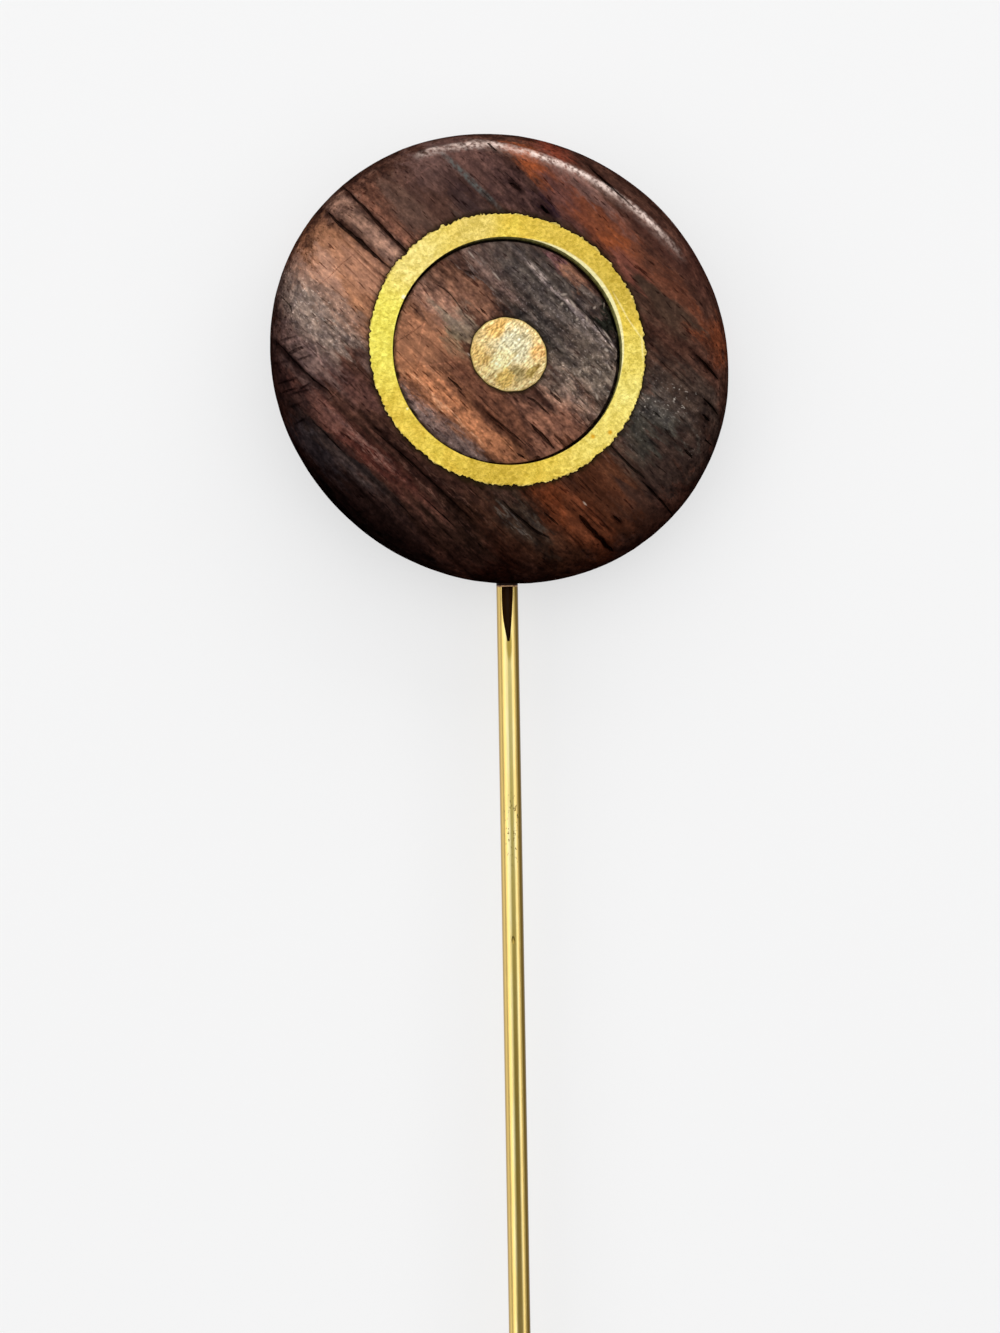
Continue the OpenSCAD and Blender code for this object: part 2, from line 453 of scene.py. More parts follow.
def effect(name, inputs):
    """Start an effect that several materials use: a node group that makes a mask of named inputs."""
    group = bpy.data.node_groups.new(name, "ShaderNodeTree")
    for socket, value in inputs.items():
        kind = "NodeSocketVector" if isinstance(value, tuple) else "NodeSocketFloat"
        group.interface.new_socket(name=socket, in_out="INPUT", socket_type=kind).default_value = value
    group.interface.new_socket(name="Mask", in_out="OUTPUT", socket_type="NodeSocketFloat")
    return group, group.nodes.new("NodeGroupInput").outputs, group.nodes.new("NodeGroupOutput")


# Streaks: long thin noise, with as many lumps to the mm as its Lumps input says in each direction.
streaks, given, result = effect("streaks", {
    "Place": (0, 0, 0), "Lumps": (1, 1, 1), "Detail": 2, "Low": 0.3, "High": 0.7})
noise = put(streaks, "TexNoise", {
    "Vector": move(streaks, "MULTIPLY", given["Place"], given["Lumps"]), "Scale": 1,
    "Detail": given["Detail"], "Roughness": 0.6}).outputs["Fac"]
feed(streaks, result, {"Mask": rise(streaks, noise, given["Low"], given["High"], "SMOOTHSTEP")})

# Soft patch: a mask that is full in the middle of an oval and fades out at its edge.
patch, given, result = effect("soft patch", {
    "Place": (0, 0, 0), "Centre": (0, 0, 0), "Half Size": (1, 1, 1), "Softness": 0.5})
scaled = move(patch, "DIVIDE", move(patch, "SUBTRACT", given["Place"], given["Centre"]), given["Half Size"])
outside = work(patch, "ADD", 1, given["Softness"])
inside = work(patch, "SUBTRACT", 1, given["Softness"])
feed(patch, result, {"Mask": rise(patch, distance(patch, scaled, (1, 1, 0)), outside, inside, "SMOOTHSTEP")})


def streak(tree, place, lumps, detail, low, high):
    """Mask of streaks that is empty where the noise is low and full where it is high."""
    return put(tree, "Group", {
        "Place": place, "Lumps": lumps, "Detail": detail, "Low": low, "High": high},
        node_tree=streaks).outputs[0]


def oval(tree, place, across, along, half_width, half_length, softness=0.6):
    """Mask of a soft patch round a point."""
    return put(tree, "Group", {
        "Place": place, "Centre": (across, along, 0), "Half Size": (half_width, half_length, 1),
        "Softness": softness}, node_tree=patch).outputs[0]


def axes(tree, turn, middle):
    """Coordinates in mm from a middle, across and along a direction turned from the part's own."""
    spot = put(tree, "TexCoord").outputs["Object"]
    return put(tree, "Mapping", {
        "Vector": spot, "Location": middle, "Rotation": (0, 0, turn), "Scale": (mm, mm, mm)},
        vector_type="TEXTURE").outputs[0]


def warp(tree, place, lumps, reach, detail):
    """Push the coordinates to and fro by noise, at most about a fifth of the reach each way."""
    noise = put(tree, "TexNoise", {
        "Vector": move(tree, "MULTIPLY", place, lumps), "Scale": 1, "Detail": detail,
        "Roughness": 0.65}).outputs["Color"]
    return move(tree, "MULTIPLY_ADD", move(tree, "SUBTRACT", noise, (0.5, 0.5, 0.5)), reach, place)


def bump(tree, height, depth):
    """Shade the surface as if a mask raised it by up to the depth."""
    return put(tree, "Bump", {"Height": height, "Distance": depth, "Strength": 1}).outputs[0]


wood, wood_shader = start_material(disc, "oiled rosewood")
grain = axes(wood, grain_turn, chart_middle)

# Colours lie in flame-like patches that run with the grain: middle across and along, half width,
# half length, then the colour's red, green and blue. They are partly the wood's own tones and partly
# painted light: lighter towards the top, where the light falls, painted shade near black along the
# lower-left rim, and some thin pale stripes beside cracks as painted highlights on their lips.
patches = (
    (-5.9, 5, 0.8, 1.4, 70, 50, 46), (-4.75, 5.2, 0.6, 1.9, 112, 91, 85),
    (-3.4, 6.6, 0.8, 1.6, 143, 127, 116), (-3.65, 5.2, 0.6, 1, 124, 108, 98),
    (-1.75, 6.2, 1.2, 2.2, 166, 117, 87), (-1.1, 5.6, 0.7, 1.1, 174, 126, 100),
    (-2.2, 7.1, 0.6, 0.9, 184, 139, 115), (-2.75, 6.3, 0.35, 1.8, 148, 118, 102),
    (0, 6.7, 0.5, 2.2, 142, 110, 94), (0.95, 6.4, 0.5, 1.6, 107, 72, 58),
    (1, 5.5, 0.4, 0.6, 134, 92, 74), (1.7, 6.2, 0.45, 1.5, 96, 72, 62),
    (2.9, 5.9, 0.8, 1.9, 80, 56, 48), (3.6, 6.8, 1.1, 0.7, 98, 73, 67),
    (3.4, 5.3, 0.5, 0.9, 64, 46, 44), (4.85, 4, 0.7, 2.6, 76, 54, 50),
    (4.6, 5.7, 0.5, 0.7, 92, 66, 60), (5.4, 2.9, 0.3, 0.7, 50, 34, 42),
    (6.1, 4, 0.32, 1, 138, 72, 42), (6, 2.6, 0.5, 1.1, 100, 65, 59),
    (6.2, 0.6, 0.6, 1.7, 118, 64, 44), (6.25, -1.6, 0.4, 2.6, 104, 62, 46),
    (6.1, -0.5, 0.3, 1, 136, 73, 44), (5.75, -1.4, 0.45, 0.9, 122, 73, 60),
    (5.6, -3.2, 0.5, 1.2, 72, 54, 44), (6.75, 2.4, 0.25, 2.2, 112, 82, 74),
    (7.3, -1.8, 0.5, 2.2, 67, 41, 34), (6.9, 4.3, 0.35, 1.6, 104, 50, 36),
    (6.1, -5.4, 0.5, 1.2, 104, 56, 36), (-7.9, -0.3, 0.9, 3.9, 17, 10, 8),
    (-7.2, -0.8, 0.5, 3.6, 40, 27, 24), (-7, 2.6, 0.4, 1.2, 62, 56, 58),
    (-6.6, 1.6, 0.25, 2.4, 52, 43, 41), (-5.85, 1.4, 0.45, 2.6, 70, 38, 32),
    (-5.85, 3.1, 0.4, 1.2, 98, 66, 58), (-4.5, 3, 0.5, 1, 82, 55, 49),
    (-4.95, -1.6, 0.5, 3, 46, 28, 23), (-5.1, -3.2, 1.2, 1, 34, 21, 16),
    (-3.35, 0.1, 0.33, 2.9, 108, 90, 84), (-2.4, 0, 0.6, 3.3, 172, 115, 81),
    (-1.4, 2.4, 1, 1.7, 170, 118, 88), (-1.35, -0.6, 0.6, 2.6, 104, 68, 52),
    (-0.05, 3.2, 0.55, 1.1, 158, 118, 98), (0.95, 2.7, 0.45, 1.5, 126, 90, 72),
    (-0.4, 1.7, 0.5, 0.6, 122, 107, 86), (0.05, 2.4, 0.4, 0.7, 132, 116, 100),
    (1.8, -0.2, 0.5, 2.4, 64, 58, 54), (2.1, 2.6, 0.5, 1.6, 108, 88, 80),
    (3.1, 0.2, 0.9, 3.4, 82, 74, 69), (4.1, 0, 0.24, 0.8, 124, 88, 70),
    (4.05, 1.1, 0.2, 0.5, 98, 68, 68), (1.7, -3, 1.6, 1.35, 103, 92, 82),
    (0.9, -3, 0.6, 0.8, 134, 114, 100), (3.4, -1.4, 0.3, 0.7, 104, 92, 86),
    (-0.3, -3.3, 1.1, 1.1, 130, 90, 72), (-2.4, -5.3, 0.7, 1.3, 98, 49, 27),
    (-0.75, -5.9, 1.2, 1.8, 68, 38, 25), (0, -5.7, 0.4, 0.9, 84, 50, 34),
    (0.9, -5.7, 0.5, 0.7, 96, 75, 63), (2.1, -6.2, 1.5, 1.5, 60, 57, 51),
    (3.3, -5.6, 1, 0.9, 78, 74, 69), (3.9, -5.8, 0.8, 1.6, 68, 55, 48),
    (-4, -5.2, 1.2, 2.4, 50, 30, 21), (-2.8, -7.1, 1.4, 0.9, 66, 40, 28),
    (-3.7, -4.6, 0.5, 1.3, 50, 39, 32), (-2.2, -6.6, 0.8, 1.4, 84, 45, 28),
    (-5.9, -5.6, 1.3, 1.1, 42, 21, 14), (2, -7.4, 2, 0.8, 54, 41, 36),
    (-5.65, 2.2, 0.06, 1.6, 100, 72, 64), (-6.15, -0.5, 0.05, 2.2, 80, 52, 44),
    (-5.35, -1, 0.05, 2.6, 78, 54, 46), (-4.7, -1.5, 0.05, 2.4, 72, 50, 42),
    (-2.75, 0.3, 0.06, 1.7, 184, 136, 104), (-3.9, -4.4, 0.06, 0.7, 76, 68, 62),
    (-3.42, -5.2, 0.06, 0.7, 58, 49, 43), (1.5, 2.9, 0.06, 1.2, 118, 102, 94),
    (2.1, 2.6, 0.06, 1.3, 122, 106, 98), (3.3, -0.4, 0.09, 2.1, 134, 122, 117),
    (3.85, -2.05, 0.36, 0.6, 36, 37, 31), (3.3, -3, 0.4, 0.4, 44, 40, 38),
)
drift = streak(wood, grain, (1.6, 0.22, 1.6), 3, 0, 1)
flames = warp(wood, warp(wood, grain, (1.6, 0.25, 1.6), (1.4, 5, 0), 4), (5, 1.5, 5), (0.9, 2.4, 0), 4)
colour = blend(wood, drift, tint(46, 28, 22), tint(86, 58, 48))
for *spot, red, green, blue in patches:
    colour = blend(wood, oval(wood, flames, *spot), colour, tint(red, green, blue))

# Streaks and mottle lighten and darken the patches. They are weaker in the smooth parts, and coarse
# in the open grain of the dusty, sheeny parts, where their lightening is partly a painted sparkle of light.
plain = colour
for lumps, detail, dark, light in (
        ((3.6, 0.2, 3.6), 3, (0.68, 0.66, 0.66), (1.34, 1.32, 1.3)),
        ((3.4, 2.2, 3.4), 5, (0.58, 0.56, 0.6), (1.44, 1.4, 1.35)),
        ((9, 5.5, 9), 3, (0.68, 0.68, 0.68), (1.32, 1.32, 1.32))):
    fine = streak(wood, grain, lumps, detail, 0.3, 0.7)
    colour = mottle(wood, colour, fine, dark, light)
smooth = 0
for spot in ((6.2, -0.3, 1.3, 4.6), (3, 5.9, 1.9, 1.7), (-1.9, 6.3, 1.5, 1.9), (-0.8, -6.3, 1.8, 1.8),
             (-1.6, 2.3, 1.1, 1.3)):
    smooth = work(wood, "MAXIMUM", smooth, oval(wood, flames, *spot, 0.4))
colour = blend(wood, times(wood, smooth, 0.42), colour, plain)
dust_and_sheen = 0
for *spot, strength in ((2.1, -1.9, 1.7, 3.6, 1), (-3.5, 6, 1, 2.3, 0.75), (-3.3, 0, 0.4, 3.2, 0.5),
                        (2.6, -5.8, 1.5, 1.2, 0.5)):
    dust_and_sheen = work(wood, "MAXIMUM", dust_and_sheen, times(wood, oval(wood, flames, *spot, 0.5), strength))
coarse = streak(wood, grain, (5, 3, 5), 5, 0.34, 0.66)
colour = mottle(wood, colour, coarse, (0.42, 0.42, 0.43), (1.7, 1.7, 1.72), times(wood, dust_and_sheen, 0.6))


def ridge_shading(tree, place, profile):
    """Painted light and shade of ridges: a lightness, 1 at both ends, that changes across the grain as the
    profile's pairs say.
    """
    first = profile[0][0]
    last = profile[-1][0]
    sideways = put(tree, "SeparateXYZ", {0: place}).outputs["X"]
    shades = put(tree, "ValToRGB", {"Fac": rise(tree, sideways, first, last)})
    shades.color_ramp.interpolation = "EASE"
    stops = shades.color_ramp.elements
    for across, lightness in profile[1:-1]:
        stops.new((across - first) / (last - first)).color = (lightness / 2,) * 3 + (1,)
    for end in (stops[0], stops[-1]):
        end.color = (0.5, 0.5, 0.5, 1)
    return move(tree, "MULTIPLY", shades.outputs[0], (2, 2, 2))


# Ridges run down the left, the lower end and the right of the middle, and their lit and shaded flanks
# are painted in as a lightness across the grain. Each is charted: place across the grain and lightness
# there.
left_ridge_shading = (
    (-7.3, 1), (-7.05, 0.6), (-6.85, 1.2), (-6.6, 1.6), (-6.42, 0.3), (-6.25, 0.8), (-6.1, 1.5),
    (-5.9, 0.8), (-5.65, 1.45), (-5.47, 0.7), (-5.3, 0.3), (-5.13, 1.5), (-4.98, 0.3), (-4.8, 1.15),
    (-4.6, 0.7), (-4.4, 1.25), (-4.1, 1))
low_ridge_shading = (
    (-3, 1), (-2.7, 0.7), (-2.42, 1.35), (-2.12, 0.75), (-1.88, 1.2), (-1.64, 1.7), (-1.46, 0.5),
    (-1.2, 1.25), (-0.8, 0.8), (-0.4, 1.3), (0.05, 0.8), (0.5, 1.2), (0.8, 1))
right_ridge_shading = (
    (1.45, 1), (1.72, 0.4), (1.98, 1.55), (2.15, 0.8), (2.35, 0.6), (2.6, 1.1), (2.8, 1.35),
    (3.06, 0.45), (3.3, 1.5), (3.5, 0.35), (3.66, 1.3), (3.83, 0.7), (4.05, 1.2), (4.3, 1))
wavering = warp(wood, grain, (1, 0.35, 1), (0.5, 0, 0), 3)
gaps = streak(wood, grain, (2.5, 0.7, 2.5), 3, 0.25, 0.5)
for profile, spot in ((left_ridge_shading, (-5.8, -1.3, 1.8, 4.7)), (low_ridge_shading, (-1.1, -6.4, 1.9, 1.6)),
                      (right_ridge_shading, (2.9, -0.1, 1.6, 3.9))):
    mask = broken(wood, oval(wood, grain, *spot, 0.25), gaps, 0.55, 0.2)
    colour = blend(wood, mask, colour, ridge_shading(wood, wavering, profile), "MULTIPLY")

# Painted shade darkens the wood beside the largest cracks: middle across and along, half width, half length.
for spot in (
        (0.5, 6.9, 0.13, 1.9), (-0.47, 6.9, 0.17, 1.6), (0.5, -6.6, 0.12, 1.8), (-2.15, -7.1, 0.12, 0.8),
        (-5.27, 5, 0.16, 1.7), (-5.25, 5.6, 0.11, 0.9), (-5.27, 4.1, 0.11, 0.5), (4.98, 4, 0.13, 0.35),
        (-1.66, -6.8, 0.08, 0.8), (-1.2, -7.2, 0.09, 0.35), (-2.86, -6.7, 0.07, 0.7),
        (-3.62, -4.9, 0.07, 0.8), (5.12, 2.6, 0.17, 0.4), (5.45, 5.65, 0.1, 0.35), (5.12, -5.7, 0.14, 0.7),
        (4.17, -6.8, 0.13, 0.5), (3.74, -6.95, 0.15, 0.3), (7.42, 1.5, 0.12, 1.3), (1.33, -3.3, 0.16, 0.8),
        (-0.93, -3.1, 0.1, 0.8), (-1.68, -1.6, 0.12, 1.3)):
    colour = blend(wood, oval(wood, wavering, *spot), colour, (0.42, 0.38, 0.38), "MULTIPLY")

# Fine pores and thin dark lines run with the grain, and pale specks lie in the open grain: partly
# dust, partly a painted sparkle of light.
lines = streak(wood, grain, (4.6, 0.14, 4.6), 3, 0.6, 0.7)
fine_pores = streak(wood, grain, (11, 1.7, 11), 1, 0.65, 0.73)
dark_lines = work(wood, "MAXIMUM", times(wood, lines, 0.6), fine_pores)
colour = blend(wood, dark_lines, colour, (0.38, 0.32, 0.32), "MULTIPLY")
grit = streak(wood, grain, (12, 8, 12), 4, 0.56, 0.7)
dust_and_sparkle = broken(wood, grit, dust_and_sheen, 0.9, 0.1)
colour = blend(wood, dust_and_sparkle, colour, (2.9, 3, 3.1), "MULTIPLY")

# A pale grey line runs with the grain near the top of the disc.
pale_line = broken(wood, oval(wood, grain, 4, 5.4, 0.11, 1.4), fine, 0.75, 0.1)
colour = blend(wood, pale_line, colour, tint(94, 99, 96))


def scratch(tree, across, along, degrees, half_length, half_width):
    """Mask of a thin straight scratch round a point of the chart, at an angle from across the grain."""
    place = axes(tree, grain_turn + math.radians(degrees), grain_place(across, along))
    return oval(tree, place, 0, 0, half_length, half_width)


# Pale scratches from sanding, which run every way: middle across and along, angle, half length.
for line in (
        (-1.9, 2.1, 24, 0.75), (-1.7, 1.5, -38, 0.7), (-1.3, 2.7, 30, 0.6), (-2.3, 1.2, -30, 0.4),
        (-5.9, 5.1, 68, 0.7), (-6.2, 4.8, -32, 0.6), (-5.5, 4.9, -28, 0.5), (-4.9, 6, -30, 0.6),
        (-4.4, 5.1, 62, 0.9), (-5.4, 3.5, -6, 1.3), (-3.1, 4.6, 35, 0.5),
        (0.3, 6, -25, 0.6), (2.6, 6.9, -12, 0.9), (5.9, -3.3, 40, 0.5), (-6.6, 3, -35, 0.45)):
    mask = broken(wood, scratch(wood, *line, 0.035), fine, 0.5, 0.1)
    colour = blend(wood, mask, colour, (1.75, 1.68, 1.68), "MULTIPLY")

# Dark creases that run aslant over the open grain on the left.
for line in (
        (-6.15, 4.75, -31, 0.38), (-5.7, 4.45, -14, 0.26), (-6.02, 5.08, -32, 0.38), (-5.9, 4.4, -34, 0.4),
        (-4.95, 5.2, -27, 0.3), (-4.88, 6.15, -33, 0.32), (-4.95, 5.6, -22, 0.3), (-6.7, 3.68, -20, 0.3),
        (-5.7, 5.75, -40, 0.35), (-6.35, 4.2, -25, 0.3)):
    mask = times(wood, scratch(wood, *line, 0.05), 0.75)
    colour = blend(wood, mask, colour, (0.36, 0.31, 0.32), "MULTIPLY")

# Painted glints in the open grain, and pale splinters beside the open gap, each with its half width too.
for line in (
        (4.2, -1.6, 85, 0.12, 0.035), (4.16, -1.36, 35, 0.14, 0.03), (3.8, -1.2, 0, 0.06, 0.04),
        (3.38, -2.25, 80, 0.24, 0.03), (3.7, -2.42, 60, 0.14, 0.03), (3.2, -2.68, 80, 0.1, 0.035),
        (3.28, -1.3, 50, 0.1, 0.035), (2.98, -2.6, 90, 0.08, 0.05), (3.05, -1.04, 0, 0.06, 0.045),
        (3.07, -0.24, 0, 0.06, 0.045), (3.36, -0.05, -40, 0.11, 0.045), (3.34, -0.55, 80, 0.2, 0.04),
        (2.2, -2.9, 80, 0.12, 0.035), (1.75, -2.45, 20, 0.08, 0.04), (2.6, -3.1, 70, 0.12, 0.035),
        (1.5, -3.55, 60, 0.1, 0.04), (2.05, 3.4, 85, 0.16, 0.03), (2.12, 2.2, 85, 0.2, 0.03),
        (-0.65, 0.9, 90, 0.1, 0.03), (-1.63, -5.95, 85, 0.09, 0.03)):
    colour = blend(wood, times(wood, scratch(wood, *line), 0.5), colour, tint(198, 180, 164))
# A painted sparkle of light: fine pale specks in four patches, each with its strength.
painted_sparkle = streak(wood, grain, (10, 7, 10), 3, 0.6, 0.7)
for *spot, strength in (
        (3, -5.5, 0.9, 0.7, 0.75), (2.2, -2.9, 1.1, 1, 0.45), (3.3, -0.8, 0.35, 1.4, 0.4),
        (-3.4, 5.9, 0.7, 1.5, 0.4)):
    mask = times(wood, times(wood, oval(wood, flames, *spot, 0.5), painted_sparkle), strength)
    colour = blend(wood, mask, colour, tint(190, 178, 166))

# A painted highlight runs along a band of the rim at the upper right, where the light falls, with a
# fainter painted sheen just inside it, and the same band carries a clear coat. The band lies between
# two large circles, and at the top between two ovals like the disc's own. Painted shade then darkens
# the lower left and takes the rim to black at its outline.
disc_place = axes(wood, disc_turn, (0, 0, 0))


def rim_circle(radius, softness):
    """Mask of a large circle that runs along the rim at the upper right."""
    return oval(wood, grain, -3.9, -0.72, radius, radius, softness)


def disc_oval(share, softness):
    """Mask of an oval like the disc's own, at a share of its size."""
    return oval(wood, disc_place, 0, 0, disc_long / 2 / mm * share, disc_short / 2 / mm * share, softness)


rim_ring = rim_circle(11.5, 0.007)
rim_part = oval(wood, grain, 6.4, 2.4, 2.2, 4.3, 0.25)
top_part = oval(wood, grain, 4.4, 6.7, 1.15, 1.1, 0.4)
rim_band = times(wood, work(wood, "SUBTRACT", rim_ring, rim_circle(11.33, 0.009)), rim_part)
rim_sheen = times(wood, work(wood, "SUBTRACT", rim_ring, rim_circle(11.22, 0.02)), rim_part)
top_band = times(wood, work(wood, "SUBTRACT", disc_oval(0.957, 0.008), disc_oval(0.928, 0.018)), top_part)
rim_grain = streak(wood, grain, (7, 5, 7), 4, 0.36, 0.62)
rim_patches = streak(wood, grain, (1.6, 0.8, 1.6), 2, 0.3, 0.55)
rim_highlight_and_gloss = broken(wood, work(wood, "MAXIMUM", rim_band, top_band), rim_grain, 0.9, 0.1)
rim_highlight_and_gloss = broken(wood, rim_highlight_and_gloss, rim_patches, 0.65, 0.35)
colour = blend(wood, broken(wood, rim_sheen, rim_grain, 0.3, 0.14), colour, tint(206, 172, 158))
colour = blend(wood, times(wood, rim_highlight_and_gloss, 0.8), colour, tint(236, 206, 190))
# Painted shade: darker outside an oval set towards the upper right, so the lower-left rim goes near black,
# and darker again at the very outline.
for inner_part, shade in ((oval(wood, grain, 1, 0.3, 8, 8.4, 0.09), (0.36, 0.3, 0.3)),
                          (disc_oval(0.985, 0.03), (0.3, 0.26, 0.26))):
    colour = mottle(wood, colour, inner_part, shade, (1, 1, 1))

# The wood is painted a patchy dark olive in a narrow fringe beside the ring and the dot.
fringe_noise = streak(wood, grain, (4, 4, 4), 3, 0.3, 0.6)
beside_ring = work(wood, "SUBTRACT", oval(wood, grain, 0.45, 0.04, 5.05, 5.26, 0.025),
                   oval(wood, grain, 0.42, -0.02, 4.06, 4.12, 0.02))
beside_dot = oval(wood, grain, 0.36, -0.15, 1.4, 1.53, 0.06)
dark_fringe = broken(wood, work(wood, "MAXIMUM", beside_ring, beside_dot), fringe_noise, 0.5, 0.35)
colour = blend(wood, dark_fringe, colour, tint(30, 24, 8))

shine = work(wood, "MULTIPLY_ADD", rim_highlight_and_gloss, 0.9, times(wood, dust_and_sparkle, 0.2))
relief = work(wood, "SUBTRACT", work(wood, "MULTIPLY_ADD", grit, 0.8, fine), dark_lines)
feed(wood, wood_shader, {
    "Base Color": colour, "Coat Weight": shine, "Normal": bump(wood, relief, 0.012 * mm), "Roughness": 0.5,
    "Specular IOR Level": 0, "Coat Roughness": 0.4, "Coat IOR": 2.2})
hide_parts("wood_disc")
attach(disc, "root")


# Brass ring
# A flat ring of brass, filed to shape by hand, so its outer edge is ragged and its face granular. It
# is pressed into the groove, and stands off the wood on one side of its inner edge.
ring_low, ring_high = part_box("ring_inlay")
ring_place = (ring_low + ring_high) / 2
# Half the length and half the width of the oval ring, and of its oval hole.
ring_long = 5.17 * mm
ring_short = 4.955 * mm
hole_long = 4.25 * mm
hole_short = 4.17 * mm
hole_place = ring_place + Vector((0.02, -0.05, 0)) * mm
notch_depth = 0.035 * mm
groove_room = 0.035 * mm
inlay_room = 0.02 * mm
groove_floor = disc_high.z - 1 * mm
tool_top = disc_high.z + 1 * mm
gap_turn = math.radians(35)
gap_side = Vector((math.cos(gap_turn), math.sin(gap_turn), 0))
gap_width = 0.2 * mm
wall_lean = 0.1 * mm

# The ragged outer edge: an oval shaken in three steps, each finer, then notched at some points.
bpy.ops.mesh.primitive_circle_add(
    vertices=120, radius=ring_long, location=(ring_place.x, ring_place.y, ring_high.z))
edge = settle((1, ring_short / ring_long, 1), disc_turn)
edit()
notch_chance = random.Random(6)
for step, shake in enumerate((0.03 * mm, 0.02 * mm, 0.012 * mm)):
    bpy.ops.mesh.select_all(action="SELECT")
    if step:
        bpy.ops.mesh.subdivide(number_cuts=1)
    bpy.ops.transform.vertex_random(offset=shake, uniform=1, normal=0, seed=step + 4)
for share in (0.45, 0.35):
    pick(edge, "VERT", lambda vert: notch_chance.random() < share)
    bpy.ops.transform.resize(value=(1 - notch_depth / ring_long,) * 2 + (1,), center_override=ring_place)
bpy.ops.mesh.select_all(action="SELECT")
bpy.ops.transform.resize(value=(1, 1, 0), center_override=(0, 0, ring_high.z))
done()


def draw_out(height):
    """Draw the flat shape in edit mode out into a closed body, and leave edit mode."""
    bpy.ops.mesh.select_all(action="SELECT")
    bpy.ops.mesh.extrude_region_move(TRANSFORM_OT_translate={"value": (0, 0, height)})
    face_out()


def ring_body(grow, shrink, place, low, high):
    """A solid ring between the ragged edge, grown a little, and the oval of the hole, made smaller."""
    only(edge)
    bpy.ops.object.duplicate()
    outer = bpy.context.object
    edit()
    bpy.ops.transform.resize(value=(1 + grow / ring_long,) * 2 + (1,), center_override=ring_place)
    done()
    bpy.ops.mesh.primitive_circle_add(
        vertices=len(outer.data.vertices), radius=1, location=(place.x, place.y, ring_high.z))
    settle((hole_long - shrink, hole_short - shrink, 1), disc_turn)
    outer.select_set(True)
    bpy.context.view_layer.objects.active = outer
    bpy.ops.object.join()
    edit()
    bpy.ops.mesh.bridge_edge_loops()
    bpy.ops.mesh.select_all(action="SELECT")
    bpy.ops.transform.translate(value=(0, 0, high - ring_high.z))
    draw_out(low - high)
    return outer


core_place = hole_place - gap_width / 2 * gap_side
groove = ring_body(groove_room, inlay_room + gap_width / 2, core_place, groove_floor, tool_top)
ring = ring_body(0, 0, hole_place, ring_low.z, ring_high.z)
ring.name = "brass_ring"
bpy.data.objects.remove(edge)
cut(disc, groove)

# On the side of the open gap the wall of the ring's hole leans in below the top.
lean_level = ring_high.z - 0.3 * mm
only(ring)
edit()
bpy.ops.mesh.bisect(plane_co=(0, 0, lean_level), plane_no=(0, 0, 1))
pick(ring, "VERT", lambda vert: (vert.co - hole_place).xy.length < hole_long * 1.02
     and vert.co.z < lean_level + 0.01 * mm)
bpy.ops.transform.translate(value=-wall_lean * gap_side)
done()

# Chips out of the edge of the wood inside the ring, most of them beside the open gap: middle across
# and along, half width, half length, depth.
chips = (
    (4.17, -1.7, 0.2, 0.36, 0.32), (3.86, -2.05, 0.22, 0.4, 0.26), (3.6, -2.3, 0.16, 0.32, 0.16),
    (4, -1.48, 0.14, 0.2, 0.12), (3.72, -2.62, 0.2, 0.34, 0.24), (3.36, -2.95, 0.16, 0.3, 0.16),
    (2.95, -3.35, 0.22, 0.26, 0.14), (4.42, -0.35, 0.09, 0.95, 0.4), (4.42, 0.75, 0.07, 0.6, 0.3),
    (4.15, 1.95, 0.08, 0.3, 0.2), (3.4, 2.95, 0.12, 0.2, 0.15), (2.2, 3.8, 0.15, 0.12, 0.12),
    (-0.55, 4.06, 0.18, 0.14, 0.12), (-3.05, 2.3, 0.12, 0.16, 0.12), (-3.62, 0.9, 0.08, 0.24, 0.12),
    (-3.3, -2, 0.1, 0.2, 0.12), (-1.7, -3.55, 0.16, 0.12, 0.12), (0.7, -4.15, 0.25, 0.14, 0.14),
    (1.6, -4.02, 0.2, 0.12, 0.12),
)
for number, (across, along, half_width, half_length, depth) in enumerate(chips):
    place = grain_place(across, along)
    bpy.ops.mesh.primitive_ico_sphere_add(subdivisions=3, radius=1, location=(place.x, place.y, face_level))
    chip = settle((half_width * mm, half_length * mm, depth * mm), grain_turn)
    edit()
    bpy.ops.transform.vertex_random(offset=0.018 * mm, uniform=1, normal=0, seed=number)
    done()
    cut(disc, chip)

# The ring's upper edges are broken, and beside the open gap the inner one is filed to a slope.
slope_turn = math.radians(26)
slope_place = hole_place + 0.31 * mm * Vector((math.cos(slope_turn), math.sin(slope_turn), 0))
slope_r = 4.015 * mm
slope_spread = 0.23 * mm
slope_depth = 0.03 * mm
bpy.ops.mesh.primitive_cone_add(vertices=240, radius1=slope_r - slope_spread, radius2=slope_r + slope_spread,
                                depth=slope_depth, location=(slope_place.x, slope_place.y, ring_high.z))
cut(ring, bpy.context.object)
round_over(ring, 1, 0.02 * mm, 2, clamp=True)
bpy.ops.object.shade_smooth_by_angle(angle=math.radians(8))

